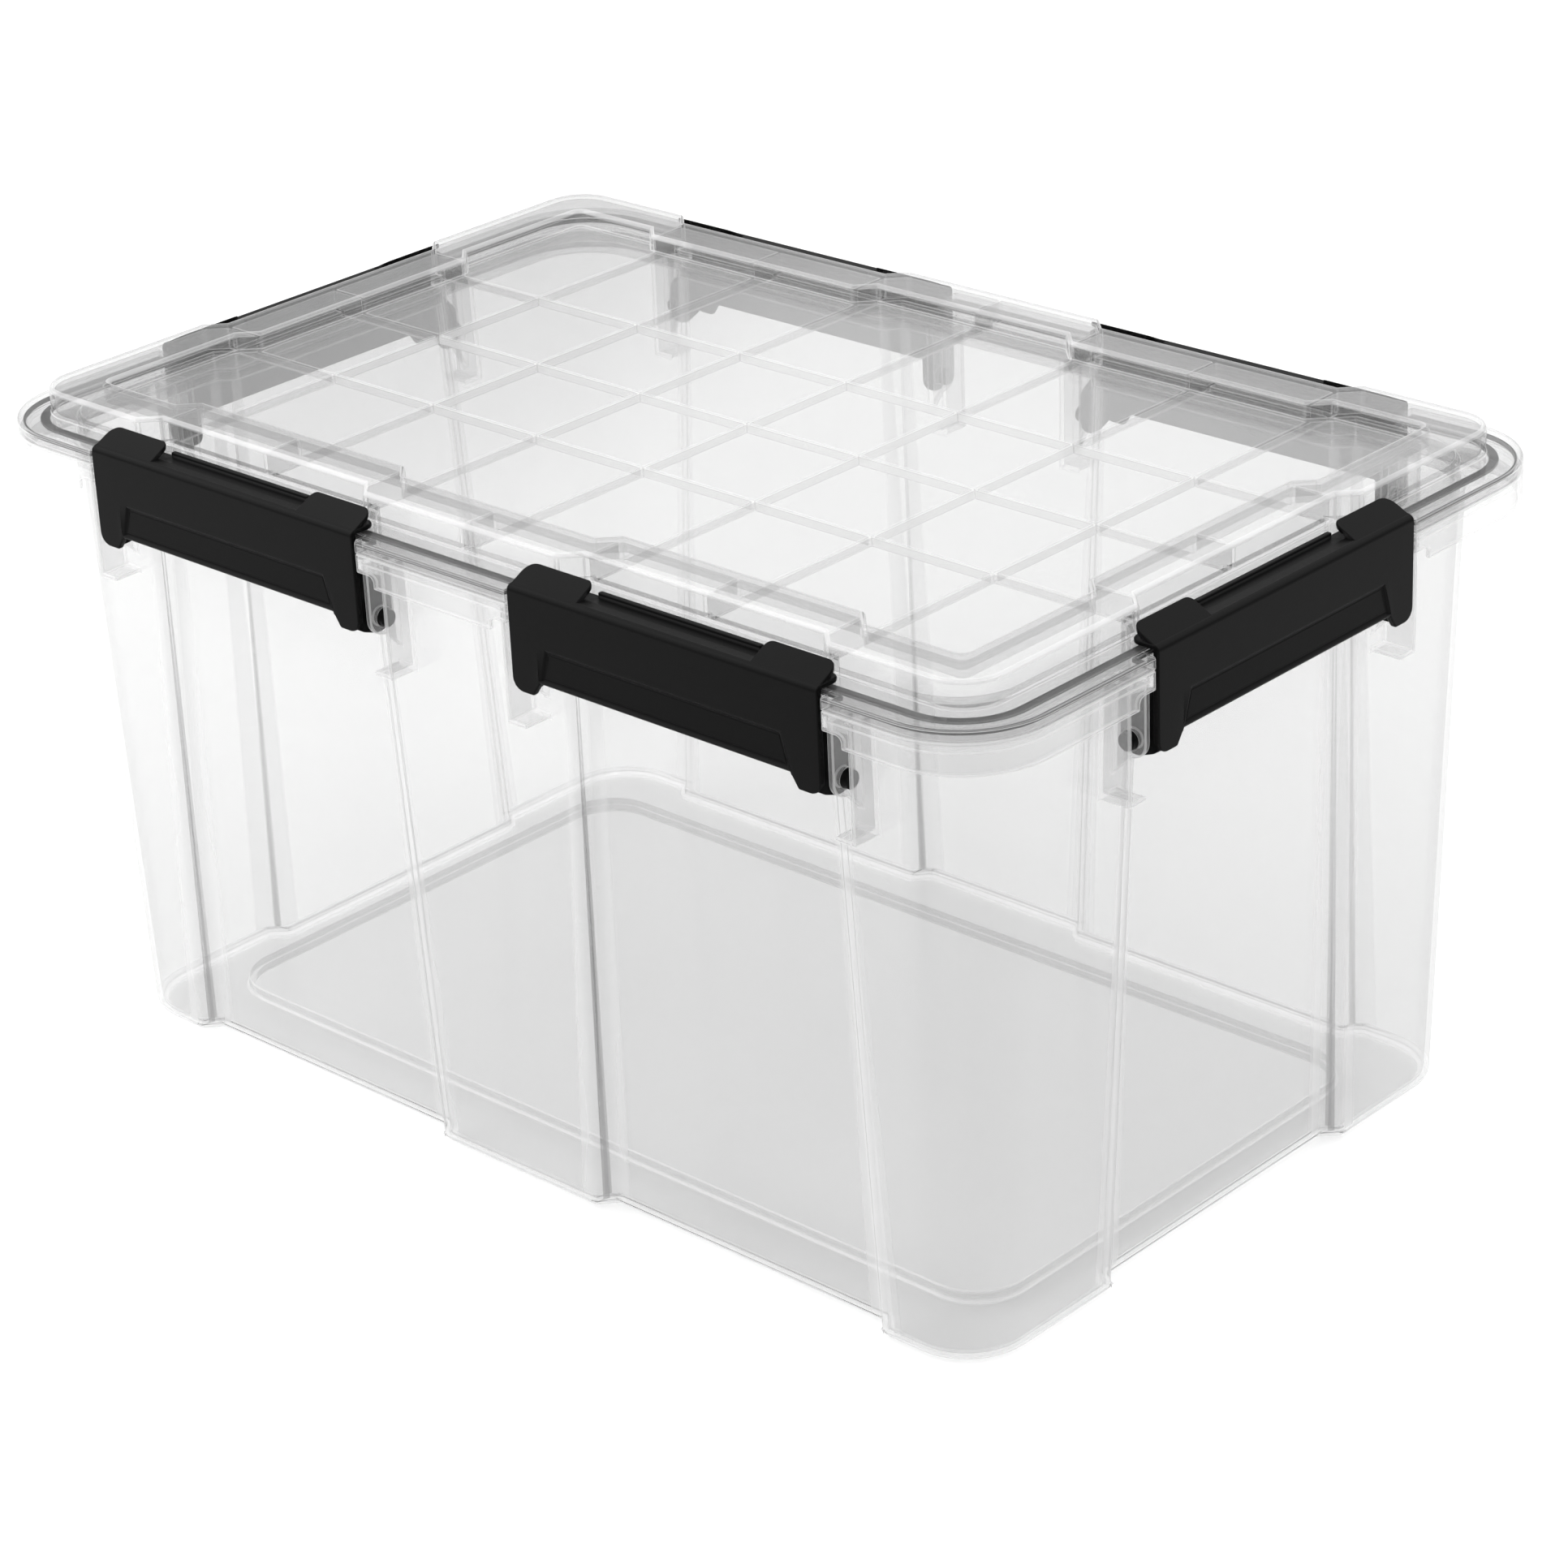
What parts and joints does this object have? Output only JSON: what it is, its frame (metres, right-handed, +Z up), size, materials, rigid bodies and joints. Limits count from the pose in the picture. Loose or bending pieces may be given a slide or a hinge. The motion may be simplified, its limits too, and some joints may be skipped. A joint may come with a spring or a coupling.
{
  "type": "gasketed storage box",
  "caption": "Clear rectangular plastic storage box with drafted panelled walls, a ribbed recessed lid with a dark seal, and black snap latches on all four sides.",
  "frame": {"origin": "centre of the underside of the base, on the surface that the box stands on", "axes": "+X along the long side, +Z up out of the lid, -Y out of the front long side"},
  "size_m": [0.6, 0.392, 0.318],
  "materials": {
    "clear_plastic": "natural translucent moulded polypropylene",
    "gasket_rubber": "matte dark grey elastomer",
    "black_plastic": "satin black moulded plastic"
  },
  "bodies": {
    "bin": {"bin_tub": "clear_plastic"},
    "lid": {"lid": "clear_plastic", "lid_gasket": "gasket_rubber"},
    "latch_front_left": {"latch_front_left": "black_plastic"},
    "latch_front_right": {"latch_front_right": "black_plastic"},
    "latch_back_left": {"latch_back_left": "black_plastic"},
    "latch_back_right": {"latch_back_right": "black_plastic"},
    "latch_left": {"latch_left": "black_plastic"},
    "latch_right": {"latch_right": "black_plastic"}
  },
  "joints": [
    {"name": "lid_lift", "type": "slide", "parent": "bin", "child": "lid", "axis": [0, 0, 1], "range_m": [0, 0.12]},
    {"name": "latch_front_left_hinge", "type": "hinge", "parent": "bin", "child": "latch_front_left", "pos_m": [-0.133, -0.184, 0.266], "axis": [1, 0, 0], "range_deg": [0, 105]},
    {"name": "latch_front_right_hinge", "type": "hinge", "parent": "bin", "child": "latch_front_right", "pos_m": [0.133, -0.184, 0.266], "axis": [1, 0, 0], "range_deg": [0, 105]},
    {"name": "latch_back_left_hinge", "type": "hinge", "parent": "bin", "child": "latch_back_left", "pos_m": [-0.133, 0.184, 0.266], "axis": [-1, 0, 0], "range_deg": [0, 105]},
    {"name": "latch_back_right_hinge", "type": "hinge", "parent": "bin", "child": "latch_back_right", "pos_m": [0.133, 0.184, 0.266], "axis": [-1, 0, 0], "range_deg": [0, 105]},
    {"name": "latch_left_hinge", "type": "hinge", "parent": "bin", "child": "latch_left", "pos_m": [-0.288, 0, 0.266], "axis": [0, -1, 0], "range_deg": [0, 105]},
    {"name": "latch_right_hinge", "type": "hinge", "parent": "bin", "child": "latch_right", "pos_m": [0.288, 0, 0.266], "axis": [0, 1, 0], "range_deg": [0, 105]}
  ]
}
